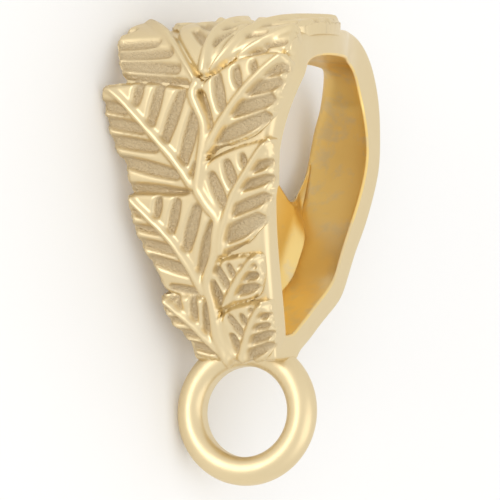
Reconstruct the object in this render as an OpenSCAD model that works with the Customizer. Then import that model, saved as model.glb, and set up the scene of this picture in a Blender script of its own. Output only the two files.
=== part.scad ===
// Leaf pendant bail, cast in one piece with its ring.
// It is modelled upright: X to the right across the panel, Y to the back, Z up from the foot.
// The whole casting is then laid on its left side, as it rests by itself.

/* [Loop] */
// Height of the plain band loop, from the foot to its top
loop_height = 14.1; // [12:0.1:18]
// Depth of the plain band loop, from the panel to the back of the strap
loop_depth = 11.8; // [10:0.1:15]
// Thickness of the band, before the leaves
band_wall = 0.9; // [0.7:0.05:1.2]

/* [Widths] */
// Half width of the leaf panel, left of its stem
panel_left = 4.9; // [4:0.1:6]
// Half width of the leaf panel, right of its stem
panel_right = 3.7; // [3:0.1:5]
// Half width of the plain strap at the back
strap_half = 1.5; // [1.2:0.05:2]
// Half width of the foot, where panel and strap meet
foot_half = 2; // [1.7:0.05:2.4]

/* [Leaves] */
// Height of the leaf midribs above the band
leaf_height = 0.5; // [0.35:0.05:0.7]
// Thickness of a leaf at its edge
leaf_edge = 0.36; // [0.25:0.02:0.5]
// Depth of the vein grooves in the leaves
vein_depth = 0.24; // [0.1:0.02:0.3]
// How far the leaf edges run ahead of the midrib, for each unit of width
leaf_sweep = 0.75; // [0.4:0.05:0.9]
// How deep each leaf is rooted in the band
leaf_root = 0.3; // [0.2:0.05:0.4]
// Width of the stem between the leaves
stem_width = 0.62; // [0.4:0.02:0.8]

/* [Side web] */
// Thickness of the web that closes the low left side of the loop
web_wall = 0.5; // [0.4:0.02:0.7]
// Height of the web's crest above the foot
web_height = 7.85; // [6.5:0.05:8.2]
// Drop of the web's edge from the crest to the notch beside the strap
web_notch = 1.08; // [0.5:0.02:1.5]
// Drop of the web's edge from the crest to the back of the panel
web_slope = 1.4; // [0.5:0.1:2]

/* [Ring] */
// Radius of the wire's centre line
ring_radius = 2.51; // [2.3:0.05:3]
// Diameter of the ring's wire
ring_wire = 1.28; // [1:0.02:1.5]
// How far the eye is reamed into the wire
eye_ream = 0.06; // [0.03:0.01:0.1]
// How far the wire is sunk into the foot
ring_sink = 0.95; // [0.7:0.05:1.1]
// Turn of the ring about the upright line
ring_turn = 11; // [0:1:20]
// Lean of the ring, with its low side to the front
ring_lean = 5; // [0:1:10]

/* [Hidden] */
gold = [0.88, 0.77, 0.55];

// The band, all round the loop: under the foot, up the front, over the top and down the strap.
// Depth and height are shares of the loop's, the wall is a share of the band's wall, and the
// half widths are shares of the panel's, the strap's or the foot's, as the last column says.
PANEL = 0;
STRAP = 1;
FOOT = 2;
loop_table = [
    // depth, height, wall, left, right, whose width
    [0.270, 0.000, 1.15, 1.05, 1.00, FOOT],
    [0.194, 0.000, 1.60, 1.05, 1.00, FOOT],
    [0.183, 0.045, 1.25, 1.10, 1.02, FOOT],
    [0.115, 0.181, 1.05, 0.54, 0.64, PANEL],
    [0.050, 0.363, 1.07, 0.65, 0.70, PANEL],
    [0.025, 0.514, 1.07, 0.76, 0.74, PANEL],
    [0.011, 0.665, 1.20, 0.87, 0.82, PANEL],
    [0.000, 0.800, 1.37, 0.92, 1.00, PANEL],
    [0.018, 0.888, 1.53, 0.92, 1.09, PANEL],
    [0.079, 0.958, 1.60, 0.92, 1.06, PANEL],
    [0.198, 0.994, 1.45, 0.87, 1.00, PANEL],
    [0.367, 1.000, 1.28, 0.76, 0.95, PANEL],
    [0.547, 0.998, 1.33, 0.58, 0.80, PANEL],
    [0.702, 1.000, 1.36, 0.55, 1.28, STRAP],
    [0.836, 0.976, 1.45, 0.14, 1.00, STRAP],
    [0.941, 0.915, 1.55, 0.40, 0.84, STRAP],
    [1.004, 0.838, 1.49, 0.65, 0.76, STRAP],
    [1.024, 0.762, 1.35, 0.80, 0.76, STRAP],
    [0.998, 0.663, 1.15, 1.01, 0.90, STRAP],
    [0.966, 0.562, 1.04, 1.05, 1.00, STRAP],
    [0.880, 0.415, 1.06, 1.12, 1.00, STRAP],
    [0.803, 0.326, 1.03, 1.05, 1.02, STRAP],
    [0.740, 0.241, 0.98, 1.05, 1.05, STRAP],
    [0.679, 0.179, 0.98, 1.10, 1.10, STRAP],
    [0.547, 0.121, 1.00, 0.90, 0.90, FOOT],
    [0.446, 0.069, 1.00, 0.96, 0.96, FOOT],
    [0.356, 0.027, 1.10, 1.00, 1.00, FOOT],
    [0.342, 0.000, 1.35, 1.00, 1.00, FOOT],
];
rows = len(loop_table);
row_steps = 3;       // sections of the band from one row to the next
first_panel_row = 1; // the foot's front corner, where the way up the panel starts
last_panel_row = 15; // just past the end of the leaves on top

// The leaves grow up and outward from the stem. Across is a share of the panel's half width on
// that side. Up the panel is a length along the band, as a share of the loop's height. The half
// width is a share of both panel halves together.
leaf_table = [
    // base across, base up, tip across, tip up, half width, vein pairs
    [-0.05, 0.01, -0.66, 0.22, 0.150, 4],
    [0.06, 0.02, 0.70, 0.21, 0.120, 4],
    [0.04, 0.16, 0.68, 0.35, 0.115, 4],
    [-0.04, 0.20, -0.84, 0.52, 0.200, 5],
    [0.05, 0.31, 0.88, 0.69, 0.160, 5],
    [-0.08, 0.50, -1.02, 0.86, 0.215, 6],
    [0.03, 0.62, 1.04, 0.98, 0.190, 6],
    [-0.02, 0.83, -1.00, 1.06, 0.190, 6],
    [0.10, 0.86, 0.98, 1.10, 0.100, 4],
    [0.05, 0.87, 0.84, 1.38, 0.130, 6],
    [0.00, 0.85, -0.10, 1.28, 0.110, 5],
    [-0.05, 1.06, -0.80, 1.40, 0.160, 5],
    [0.00, 1.16, 0.12, 1.50, 0.130, 5],
];
midrib_share = 0.18;   // half width of a midrib, as a share of its leaf's
leaf_bluntness = 0.02; // share of a leaf's length cut off at its base and at its tip
leaf_belly = 0.8;      // below 1 the leaf is widest nearer its base
leaf_fullness = 0.62;  // below 1 the leaf is fuller than a sine arch
stem_share = 0.9;      // height of the stem's end, as a share of the loop's
stem_steps = 12;
stem_shoulder = 0.7;   // height of the stem's shoulders, as a share of a leaf edge's thickness

// The web's edge from its crest down to the notch and up again along the strap: shares of the
// loop's depth, and drops below the crest as shares of the whole drop.
web_edge = [
    [0.580, 0], [0.602, 0.05], [0.670, 0.66], [0.694, 0.90], [0.712, 1],
    [0.735, 0.92], [0.768, 0.58], [0.800, 0.20], [0.840, 0], [1.050, 0]
];
web_inset = 0.01; // the web's outer face lies this far inside the strap's edge

foot_depth = 0.268 * loop_depth; // the ring hangs from the middle of the foot
eye_radius = ring_radius - ring_wire / 2 + eye_ream;
ring_middle = [0, foot_depth, ring_sink - ring_radius - ring_wire / 2];
ring_tilt = [90 - ring_lean, 0, ring_turn];
ring_axis = [sin(ring_turn) * cos(ring_lean), -cos(ring_turn) * cos(ring_lean), sin(ring_lean)];

function turn_left(v) = [-v[1], v[0]];
function unit(v) = v / norm(v);
function row(i) = loop_table[(i + rows) % rows];
half_widths = [[panel_left, panel_right], [strap_half, strap_half], [foot_half, foot_half]];
function half_of(i) = half_widths[row(i)[5]];
function left_row(i) = row(i)[3] * half_of(i)[0];
function right_row(i) = row(i)[4] * half_of(i)[1];
function outer_row(i) = [row(i)[0] * loop_depth, row(i)[1] * loop_height];
// The way round runs up the front and over to the back, so the loop's inside is on its right.
function inward(i) = -turn_left(unit(outer_row(i + 1) - outer_row(i - 1)));
function inner_row(i) = outer_row(i) + inward(i) * band_wall * row(i)[2];

// A smooth curve through four neighbouring points, at the share t between the middle two.
function smooth(a, b, c, d, t) = 0.5 * (2 * b + (c - a) * t
    + (2 * a - 5 * b + 4 * c - d) * t * t + (3 * b - a - 3 * c + d) * t * t * t);
function outer_at(s) = let (i = floor(s))
    smooth(outer_row(i - 1), outer_row(i), outer_row(i + 1), outer_row(i + 2), s - i);
function inner_at(s) = let (i = floor(s))
    smooth(inner_row(i - 1), inner_row(i), inner_row(i + 1), inner_row(i + 2), s - i);
function between(a, b, t) = a * (1 - t) + b * t;
function left_at(s) = let (i = floor(s)) between(left_row(i), left_row(i + 1), s - i);
function right_at(s) = let (i = floor(s)) between(right_row(i), right_row(i + 1), s - i);

// Lengths along the panel from the foot's front corner, to find a place in the table by length.
length_step = 0.25;
panel_places = [for (s = [first_panel_row : length_step : last_panel_row]) s];
function length_to(n) = n == 0 ? 0
    : length_to(n - 1) + norm(outer_at(panel_places[n]) - outer_at(panel_places[n - 1]));
length_table = [for (n = [0 : len(panel_places) - 1]) [length_to(n), panel_places[n]]];

// A point on the panel: x across, v up along the band, h out of its face.
slope_step = 0.1; // share of a row, each way, over which the band's slope is taken
function panel_point(x, v, h) = let (
    s = lookup(v, length_table),
    here = outer_at(s),
    out = turn_left(unit(outer_at(s + slope_step) - outer_at(s - slope_step)))
) [x, here[0] + out[0] * h, here[1] + out[1] * h];

function across(share) = share * (share < 0 ? panel_left : panel_right);
function leaf_arch(t) = pow(sin(180 * pow(t, leaf_belly)), leaf_fullness);

band_rings = [for (i = [0 : rows * row_steps - 1]) let (
    s = i / row_steps, o = outer_at(s), n = inner_at(s), l = -left_at(s), r = right_at(s)
) [[l, o[0], o[1]], [r, o[0], o[1]], [r, n[0], n[1]], [l, n[0], n[1]]]];

// Sections of one leaf along its midrib, by turns high on a vein and low in a groove.
function leaf_rings(leaf) = let (
    base = [across(leaf[0]), leaf[1] * loop_height],
    tip = [across(leaf[2]), leaf[3] * loop_height],
    half = leaf[4] * (panel_left + panel_right),
    along = unit(tip - base),
    side = turn_left(along),
    last = 2 * leaf[5]
) [for (k = [0 : last]) let (
    t = leaf_bluntness + (1 - 2 * leaf_bluntness) * k / last,
    w = half * leaf_arch(t),
    top = leaf_edge - (k % 2 == 1 ? vein_depth : 0),
    mid = base + (tip - base) * t,
    swept = along * leaf_sweep * w * (1 - t),
    l = mid + side * w + swept,
    r = mid - side * w + swept,
    rib_l = mid + side * w * midrib_share,
    rib_r = mid - side * w * midrib_share
) [
    panel_point(l[0], l[1], -leaf_root),
    panel_point(l[0], l[1], top),
    panel_point(rib_l[0], rib_l[1], top),
    panel_point(mid[0], mid[1], leaf_height),
    panel_point(rib_r[0], rib_r[1], top),
    panel_point(r[0], r[1], top),
    panel_point(r[0], r[1], -leaf_root)
]];
all_leaves = [for (leaf = leaf_table) leaf_rings(leaf)];

// A closed skin through rings of equally many points. Open ends are capped.
module skin(rings, closed = false) {
    n = len(rings[0]);
    m = len(rings);
    sides = [for (i = [0 : closed ? m - 1 : m - 2], j = [0 : n - 1]) let (
        a = i * n + j,
        b = i * n + (j + 1) % n,
        c = (i + 1) % m * n + (j + 1) % n,
        d = (i + 1) % m * n + j
    ) each [[a, c, b], [a, d, c]]];
    start_cap = [for (j = [0 : n - 1]) j];
    end_cap = [for (j = [n - 1 : -1 : 0]) (m - 1) * n + j];
    polyhedron([for (r = rings) each r], closed ? sides : concat(sides, [start_cap, end_cap]));
}

module band() {
    skin(band_rings, closed = true);
}

module leaves() {
    for (rings = all_leaves) skin(rings);
}

module stem() {
    w = stem_width / 2;
    shoulder = stem_shoulder * leaf_edge;
    skin([for (k = [1 : stem_steps]) let (v = stem_share * loop_height * k / stem_steps) [
        panel_point(-w, v, -leaf_root),
        panel_point(-w, v, shoulder),
        panel_point(0, v, leaf_height),
        panel_point(w, v, shoulder),
        panel_point(w, v, -leaf_root)
    ]]);
}

// The web fills the low part of the loop on its left side, under a crest and a notch.
module side_web() {
    wall_middle = [for (i = [0 : rows * row_steps - 1]) let (s = i / row_steps)
        between(outer_at(s), inner_at(s), 0.5)];
    edge = [for (p = web_edge) [p[0] * loop_depth, web_height - p[1] * web_notch]];
    far_end = edge[len(edge) - 1][0];
    under_edge = concat([[0, 0], [0, web_height - web_slope]], edge, [[far_end, 0]]);
    translate([web_inset - strap_half, 0, 0]) rotate([90, 0, 90]) linear_extrude(web_wall)
        intersection() {
            polygon(wall_middle);
            polygon(under_edge);
        }
}

// The round wire ring, with a short straight land reamed inside its eye.
module ring() {
    translate(ring_middle) rotate(ring_tilt) difference() {
        rotate_extrude($fn = 96) translate([ring_radius, 0]) circle(d = ring_wire, $fn = 32);
        cylinder(h = ring_wire, r = eye_radius, center = true, $fn = 96);
    }
}

// How far the casting reaches in a direction, over its band, leaves and ring.
casting_points = [for (rings = concat([band_rings], all_leaves), r = rings, p = r) p];
function ring_reach(d) = ring_middle * d + ring_wire / 2
    + ring_radius * norm(d - ring_axis * (ring_axis * d));
function reach(d) = max(max([for (p = casting_points) p * d]), ring_reach(d));

// At rest the upright model's direction rest_down points to the surface. The long side of the
// casting lies along Y with the ring at the low end, and the box's middle is over the origin.
rest_down = unit([-0.9640, 0.2420, -0.1070]);
rest_up = -rest_down;
rest_y = unit([0, 0, 1] - rest_up * rest_up[2]);
rest_x = cross(rest_y, rest_up);
shift_x = (reach(-rest_x) - reach(rest_x)) / 2;
shift_y = (reach(-rest_y) - reach(rest_y)) / 2;

module laid_on_side() {
    multmatrix([
        [rest_x[0], rest_x[1], rest_x[2], shift_x],
        [rest_y[0], rest_y[1], rest_y[2], shift_y],
        [rest_up[0], rest_up[1], rest_up[2], reach(rest_down)]
    ]) children();
}

// The casting is one solid. The zero sizes keep its carved part as it is, as one skin.
module leaf_bail() {
    color(gold) {
        resize([0, 0, 0]) laid_on_side() {
            band();
            leaves();
            stem();
            side_web();
        }
        laid_on_side() ring();
    }
}

leaf_bail();
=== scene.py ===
"""A leaf pendant bail, cast in yellow gold in one piece with its ring, resting on its left side.

The relief is worked out upright, in millimetres: X to the right across the panel, Y to the
back, Z up from the foot. The whole casting is then laid on its side and scaled to metres.
"""

import math

import bmesh
import bpy
import numpy as np
from bpy.props import FloatProperty, FloatVectorProperty, IntProperty, PointerProperty
from mathutils import Matrix, Vector


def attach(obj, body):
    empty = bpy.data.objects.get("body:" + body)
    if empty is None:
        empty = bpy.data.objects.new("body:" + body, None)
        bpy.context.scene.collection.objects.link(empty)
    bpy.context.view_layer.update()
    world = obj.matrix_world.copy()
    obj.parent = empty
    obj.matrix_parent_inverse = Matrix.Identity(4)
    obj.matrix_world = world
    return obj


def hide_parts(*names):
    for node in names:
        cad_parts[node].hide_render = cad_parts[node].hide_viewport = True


bl_info = {
    "name": "Leaf pendant bail",
    "version": (1, 0, 0),
    "blender": (4, 5, 0),
    "location": "View3D > Sidebar > Leaf bail",
    "description": "Builds a cast gold pendant bail with a leaf relief, and its studio",
    "category": "Add Mesh",
}

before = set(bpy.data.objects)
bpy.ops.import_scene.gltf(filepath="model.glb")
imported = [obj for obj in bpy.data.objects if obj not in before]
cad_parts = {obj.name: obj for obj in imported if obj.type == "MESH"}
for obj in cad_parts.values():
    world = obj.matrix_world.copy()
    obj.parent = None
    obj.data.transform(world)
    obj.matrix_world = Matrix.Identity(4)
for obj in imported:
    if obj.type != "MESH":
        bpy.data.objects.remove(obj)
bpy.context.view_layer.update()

NODE = "leaf_bail"
MM = 0.001
CAMERA_DISTANCE = 212.5 * MM
BOX_DISTANCE = 160 * MM

# Shape tables, with the same names as in the part's source. The rows' values make up for the
# smoothing here, so that both shapes follow the same lines.

PANEL, STRAP, FOOT = 0, 1, 2

# The band all round the loop: under the foot, up the front, over the top and down the strap.
# Depth and height are shares of the loop's, the wall is a share of the band's wall, and the
# half widths are shares of the panel's, the strap's or the foot's.
LOOP_TABLE = (
    (0.270, 0.000, 1.15, 1.05, 1.00, FOOT),
    (0.194, 0.000, 1.60, 1.05, 1.00, FOOT),
    (0.183, 0.045, 1.25, 1.10, 1.02, FOOT),
    (0.115, 0.181, 1.12, 0.54, 0.64, PANEL),
    (0.050, 0.363, 1.10, 0.65, 0.70, PANEL),
    (0.025, 0.514, 1.11, 0.76, 0.74, PANEL),
    (0.011, 0.665, 1.22, 0.86, 0.82, PANEL),
    (0.000, 0.800, 1.37, 0.86, 1.00, PANEL),
    (0.018, 0.888, 1.52, 0.84, 1.09, PANEL),
    (0.079, 0.958, 1.58, 0.90, 1.06, PANEL),
    (0.198, 0.994, 1.40, 0.87, 1.00, PANEL),
    (0.367, 1.000, 1.28, 0.76, 0.95, PANEL),
    (0.547, 0.998, 1.33, 0.58, 0.80, PANEL),
    (0.702, 1.002, 1.48, 0.55, 1.28, STRAP),
    (0.839, 0.981, 1.60, 0.25, 1.00, STRAP),
    (0.949, 0.921, 1.74, 0.50, 0.84, STRAP),
    (1.012, 0.840, 1.71, 0.79, 0.76, STRAP),
    (1.034, 0.762, 1.58, 0.97, 0.76, STRAP),
    (1.010, 0.661, 1.37, 1.18, 0.90, STRAP),
    (0.976, 0.559, 1.21, 1.12, 1.00, STRAP),
    (0.889, 0.411, 1.22, 1.10, 1.00, STRAP),
    (0.810, 0.322, 1.20, 1.05, 1.02, STRAP),
    (0.747, 0.237, 1.16, 1.05, 1.05, STRAP),
    (0.684, 0.173, 1.15, 1.10, 1.10, STRAP),
    (0.552, 0.114, 1.12, 0.90, 0.90, FOOT),
    (0.451, 0.063, 1.12, 0.96, 0.96, FOOT),
    (0.361, 0.022, 1.10, 1.00, 1.00, FOOT),
    (0.342, 0.000, 1.35, 1.00, 1.00, FOOT),
)
FIRST_PANEL_ROW = 1
LAST_PANEL_ROW = 15
RING_PLACE = 0.268  # share of the loop's depth where the ring is soldered to the foot

# The leaves, from the ones that lie lowest to the ones on top. Each has its name, how far its tip
# stands up in mm, its outline, its midrib, and its grooves from one end to the other with their
# half width. All places are in mm on the flat panel: across from the stem, and up from the foot.
LEAVES = (
    ("crown_middle", 0.06,
     (
         (0, 16.3), (0.75, 16.9), (1.15, 18), (1.2, 19.2), (0.9, 20.2), (0.45, 21),
         (-0.15, 20.3), (-0.7, 19.2), (-0.85, 18), (-0.55, 16.9),
     ),
     (
         (0, 16.3), (0.1, 18), (0.3, 19.6), (0.45, 20.9),
     ),
     (
         (0.3, 17.3, 0.85, 17.9, 0.15), (0.36, 18.1, 0.95, 18.8, 0.16),
         (0.42, 18.9, 0.95, 19.5, 0.15), (0.5, 19.7, 0.8, 20.1, 0.13),
         (-0.15, 17.3, -0.6, 18.1, 0.15), (-0.1, 18.1, -0.6, 18.9, 0.16),
         (0, 18.9, -0.4, 19.5, 0.15), (0.15, 19.7, -0.1, 20.1, 0.12),
     )),
    ("crown_left", 0.08,
     (
         (-0.3, 14.9), (-0.35, 16), (-0.75, 17.2), (-1.35, 18.3), (-2.2, 19.2), (-3, 19.5),
         (-3.45, 18.7), (-3.85, 17.6), (-3.85, 16.6), (-3.3, 15.6), (-2, 15),
     ),
     (
         (-0.5, 15.1), (-1.3, 16.3), (-2.1, 17.7), (-2.9, 19.2),
     ),
     (
         (-1.05, 15.6, -2.7, 15.75, 0.16), (-1.5, 16.3, -3.35, 16.6, 0.17),
         (-1.95, 17, -3.45, 17.4, 0.17), (-2.35, 17.7, -3.25, 18.05, 0.15),
         (-0.75, 15.9, -0.65, 16.9, 0.14), (-1.2, 16.6, -1.15, 17.6, 0.16),
         (-1.65, 17.4, -1.7, 18.3, 0.16), (-2.15, 18.2, -2.25, 18.8, 0.13),
     )),
    ("crown_front", 0.08,
     (
         (0, 12.05), (0.7, 12.8), (1.05, 13.6), (1.05, 14.6), (0.8, 15.8), (0.3, 16.8),
         (-0.4, 17.4), (-1.1, 17), (-1.9, 16.2), (-2.5, 15.2), (-2.1, 14.1), (-1, 13),
     ),
     (
         (0, 12.2), (-0.1, 13.8), (-0.2, 15.6), (-0.4, 17.2),
     ),
     (
         (0.78, 13.05, 0.86, 14.1, 0.12), (0.15, 13.6, 0.6, 14.5, 0.14),
         (0.1, 14.6, 0.6, 15.4, 0.15), (0.05, 15.6, 0.4, 16.2, 0.13),
         (-0.4, 13.7, -1.3, 14.5, 0.14), (-0.45, 14.6, -1.5, 15.4, 0.16),
         (-0.5, 15.5, -1.3, 16.2, 0.15),
     )),
    ("right_strip", 0.05,
     (
         (1.2, 12.7), (2.2, 12.95), (3.3, 13.15), (3.95, 13.15), (4, 13.9), (3.75, 14.9),
         (3, 14.5), (2.2, 13.9),
     ),
     (
         (1.4, 12.95), (2.6, 13.7), (3.8, 14.5),
     ),
     (
         (2.1, 13.15, 2.9, 13.35, 0.1), (2.8, 13.5, 3.7, 13.6, 0.12),
     )),
    ("right_crown", 0.14,
     (
         (0.05, 12.15), (0.9, 12.7), (1.9, 13.45), (2.4, 13.85), (3, 14.25), (3.65, 15),
         (3.8, 16.2), (3.6, 17.6), (3, 19.3), (2.1, 18.8), (1.35, 17.3), (1.05, 15.6),
         (1.05, 14.4), (0.7, 13.2),
     ),
     (
         (0.15, 12.25), (1.15, 13.5), (1.95, 15.2), (2.5, 17.2), (2.9, 19),
     ),
     (
         (1.65, 14, 2.4, 14.15, 0.12), (2.05, 14.85, 3.2, 15.1, 0.16),
         (2.35, 15.75, 3.5, 16.1, 0.17), (2.65, 16.65, 3.45, 17.1, 0.16),
         (2.85, 17.6, 3.2, 17.9, 0.13), (1.2, 14.1, 1.25, 14.7, 0.13),
         (1.45, 14.9, 1.4, 15.9, 0.15), (1.8, 15.8, 1.65, 16.9, 0.16),
         (2.1, 16.8, 1.95, 17.9, 0.15), (2.4, 17.8, 2.3, 18.5, 0.13),
     )),
    ("left_high", 0.10,
     (
         (-4.01, 12.08), (-4.26, 12.51), (-4.44, 12.81), (-4.67, 13.24), (-4.9, 13.73),
         (-5.02, 14.27), (-4.97, 14.85), (-4.94, 15.87), (-4.69, 15.9), (-3.67, 15.57),
         (-1.78, 13.79), (-0.98, 12.98), (-0.22, 12.16), (-0.34, 11.76), (-0.93, 11.77),
         (-2.8, 11.97),
     ),
     (
         (-0.14, 12.1), (-0.98, 12.98), (-2.18, 13.97), (-3.6, 14.95), (-4.66, 15.89),
     ),
     (
         (-5.06, 14.33, -4.54, 14.57, 0.14), (-4.65, 13.61, -2.78, 13.71, 0.15),
         (-4.5, 13.21, -1.95, 13.22, 0.16), (-4.05, 12.75, -1.42, 12.55, 0.17),
         (-3.95, 12.22, -0.94, 11.95, 0.17), (-1.39, 13.64, -0.27, 12.55, 0.16),
     )),
    ("right_high", 0.12,
     (
         (-0.19, 11.76), (0.08, 12.14), (0.96, 12.62), (1.95, 13.03), (3.21, 13.18),
         (3.89, 13.12), (4.11, 12.9), (4.13, 12.42), (3.97, 11.86), (3.68, 11.17), (3.3, 10.58),
         (2.91, 10.13), (2.38, 9.74), (1.2, 9.41), (0.14, 8.93), (-0.02, 9.34), (0.09, 9.95),
     ),
     (
         (0.04, 9.09), (0.48, 9.73), (1.11, 10.58), (2.02, 11.58), (2.98, 12.37), (3.92, 13.01),
     ),
     (
         (0.97, 10.97, 0.72, 12.14, 0.17), (1.8, 11.9, 1.63, 12.47, 0.15),
         (2.58, 12.39, 2.45, 12.7, 0.13), (0.26, 10.13, -0.05, 11.41, 0.17),
         (3.13, 12.31, 4.01, 12.52, 0.16), (2.34, 11.63, 3.75, 11.94, 0.18),
         (1.6, 10.82, 3.4, 11.28, 0.2), (0.73, 9.67, 3.07, 10.55, 0.21),
         (0.26, 9.06, 1.05, 9.29, 0.14),
     )),
    ("left_second", 0.12,
     (
         (-5.16, 11.61), (-5.13, 11.81), (-4.76, 11.95), (-4.23, 12.01), (-3.18, 12.07),
         (-2.06, 11.97), (-0.93, 11.78), (-0.19, 11.64), (0.23, 10.56), (0.02, 9.34),
         (-0.21, 8.42), (-0.45, 7.62), (-0.76, 7.32), (-2.25, 7.29), (-3.88, 7.36),
         (-3.98, 7.77), (-3.98, 8.26), (-4.19, 8.76), (-4.54, 9.2), (-4.8, 9.76), (-4.97, 10.51),
         (-5.09, 11.19),
     ),
     (
         (-0.63, 7.65), (-1.35, 8.67), (-2.13, 9.48), (-2.98, 10.36), (-3.92, 11.29),
         (-4.6, 11.77), (-4.91, 11.89),
     ),
     (
         (-3.35, 11.28, -3.16, 11.87, 0.16), (-2.64, 10.39, -2.12, 11.85, 0.17),
         (-1.97, 9.67, -1.13, 11.42, 0.18), (-1.12, 8.73, -0.42, 10.63, 0.2),
         (-0.64, 8.02, -0.47, 8.51, 0.14), (-3.97, 10.9, -4.9, 11.14, 0.17),
         (-3.14, 10.12, -4.79, 10.46, 0.18), (-2.51, 9.33, -4.6, 9.67, 0.18),
         (-1.52, 8.18, -4.04, 8.76, 0.19), (-1.13, 7.37, -3.76, 7.65, 0.17),
     )),
    ("right_second", 0.10,
     (
         (-0.18, 8.35), (0.21, 8.84), (1.41, 9.29), (2.37, 9.52), (3.29, 9.7), (3.38, 9.3),
         (3.31, 8.69), (3.25, 7.6), (3.2, 7.7), (3.11, 7.33), (3.01, 6.94), (2.78, 6.49),
         (2.6, 6.04), (2.12, 5.58), (1.74, 5.27), (1.12, 4.84), (0.4, 4.66), (0, 4.75),
         (0.28, 5.67), (0.56, 6.24), (-0.01, 6.81), (-0.31, 7.5),
     ),
     (
         (0.41, 4.69), (0.53, 5.5), (1.08, 6.64), (1.44, 7.43), (2.09, 8.21), (2.79, 9.12),
         (3.25, 9.54),
     ),
     (
         (1.39, 7.73, 1.11, 8.59, 0.17), (1.97, 8.53, 1.91, 8.92, 0.13),
         (0.82, 6.92, 0.32, 8.07, 0.18), (0.23, 6.53, -0.35, 7.41, 0.17),
         (2.33, 8.36, 3.19, 8.67, 0.14), (1.73, 7.64, 3.18, 8.01, 0.15),
         (1.25, 6.62, 2.9, 7.21, 0.17), (0.86, 5.59, 2.48, 6.28, 0.25),
         (0.53, 4.82, 1.69, 5.17, 0.12),
     )),
    ("left_third", 0.10,
     (
         (-3.97, 7.23), (-3.8, 7.43), (-2.82, 7.43), (-1.22, 7.33), (-0.37, 7.61), (0.1, 6.53),
         (0.27, 5.56), (-0.06, 4.4), (-0.66, 2.84), (-1.35, 2.86), (-2.16, 2.95), (-2.82, 3.31),
         (-2.85, 3.67), (-3.03, 4.18), (-3.41, 4.77), (-3.69, 5.42), (-3.86, 6.05), (-4, 6.8),
     ),
     (
         (-0.64, 2.9), (-1.04, 3.98), (-1.51, 4.84), (-2.08, 5.65), (-2.87, 6.34), (-3.62, 7),
         (-3.88, 7.29),
     ),
     (
         (-2.57, 6.51, -2.44, 6.99, 0.14), (-1.91, 5.88, -1.54, 6.88, 0.16),
         (-1.23, 5.16, -0.6, 6.59, 0.19), (-0.6, 4.22, 0.09, 5.82, 0.2),
         (-2.96, 6.47, -3.62, 6.61, 0.13), (-2.21, 5.75, -3.54, 5.99, 0.13),
         (-1.6, 4.89, -3.37, 5.32, 0.16), (-1.11, 4.01, -2.94, 4.58, 0.17),
         (-0.74, 3.08, -2.15, 3.34, 0.15),
     )),
    ("right_third", 0.08,
     (
         (0.31, 4.51), (0.4, 4.64), (1.1, 4.75), (2.32, 4.88), (2.38, 4.63), (2.35, 4.22),
         (2.31, 3.81), (2.07, 3.15), (1.69, 2.85), (0.46, 2.57), (0.06, 2.36), (-0.41, 2.72),
         (-0.53, 3.44), (-0.29, 3.92),
     ),
     (
         (0.24, 2.54), (0.55, 2.97), (1.08, 3.69), (1.72, 4.34), (2.2, 4.78),
     ),
     (
         (0.49, 3.39, 0.16, 4.16, 0.15), (0.89, 3.85, 0.74, 4.31, 0.13),
         (0.02, 2.6, -0.27, 3.62, 0.16), (1.35, 4.28, 2.06, 4.37, 0.11),
         (1.25, 3.76, 2.05, 3.95, 0.13), (0.91, 3.2, 1.92, 3.43, 0.15),
     )),
    ("left_low", 0.08,
     (
         (-3.02, 2.89), (-2.88, 3.04), (-2.15, 3.01), (-0.71, 2.9), (-0.31, 2.54), (-0.5, 1.48),
         (-0.31, 0.43), (0.05, 0.02), (-1.84, 0.19), (-1.91, 0.44), (-2.11, 0.92), (-2.5, 1.3),
         (-2.81, 1.75), (-2.98, 2.18), (-3.06, 2.64),
     ),
     (
         (-0.33, 0.25), (-1.09, 1.09), (-1.61, 1.79), (-2.24, 2.34), (-2.75, 2.83),
     ),
     (
         (-2.1, 2.4, -2.14, 2.8, 0.12), (-1.49, 1.97, -1.39, 2.74, 0.14),
         (-0.98, 1.48, -0.71, 2.59, 0.15), (-0.35, 0.81, -0.22, 2.11, 0.12),
         (-2.31, 2.33, -2.75, 2.4, 0.1), (-2.55, 2.8, -2.3, 2.89, 0.1),
         (-1.67, 1.82, -2.65, 1.95, 0.12), (-1.13, 1.19, -2.39, 1.36, 0.14),
         (-0.42, 0.37, -1.83, 0.74, 0.15),
     )),
    ("right_low", 0.07,
     (
         (0.2, 2.36), (0.45, 2.54), (1.38, 2.7), (2.2, 2.81), (2.39, 2.61), (2.43, 2.13),
         (2.28, 1.32), (2.08, 0.67), (1.6, 0.1), (1, 0.02), (0.2, 0.02), (-0.35, 0.17),
         (-0.57, 0.56), (-0.5, 1.48), (-0.14, 2.11),
     ),
     (
         (0.55, 0.18), (0.85, 0.92), (1.28, 1.69), (1.69, 2.25), (2.14, 2.7),
     ),
     (
         (0.73, 1.21, 0.31, 2.02, 0.15), (1.03, 1.72, 0.94, 2.09, 0.13),
         (1.48, 2.13, 1.45, 2.4, 0.1), (0.38, 0.47, 0.22, 1.17, 0.14),
         (1.84, 2.09, 2.29, 2.18, 0.1), (1.46, 1.56, 2.14, 1.72, 0.12),
         (1.11, 0.97, 2.11, 1.31, 0.15), (0.76, 0.24, 1.95, 0.74, 0.16),
     )),
)

# The web's crest from the panel to the strap: shares of the loop's depth, and how far it lies below
# the crest's height, as a share of the notch's depth. Beside the strap it climbs and runs out.
WEB_CREST = (
    (0.000, 1.30), (0.580, 0.00), (0.604, 0.05), (0.628, 0.30), (0.660, 0.60), (0.690, 0.88),
    (0.712, 1.00), (0.760, 1.00), (0.785, 0.86), (0.813, 0.58), (0.832, 0.34), (0.849, 0.11),
    (0.866, -0.15), (0.880, -0.50), (0.910, -0.62), (1.050, -0.62),
)

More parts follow.
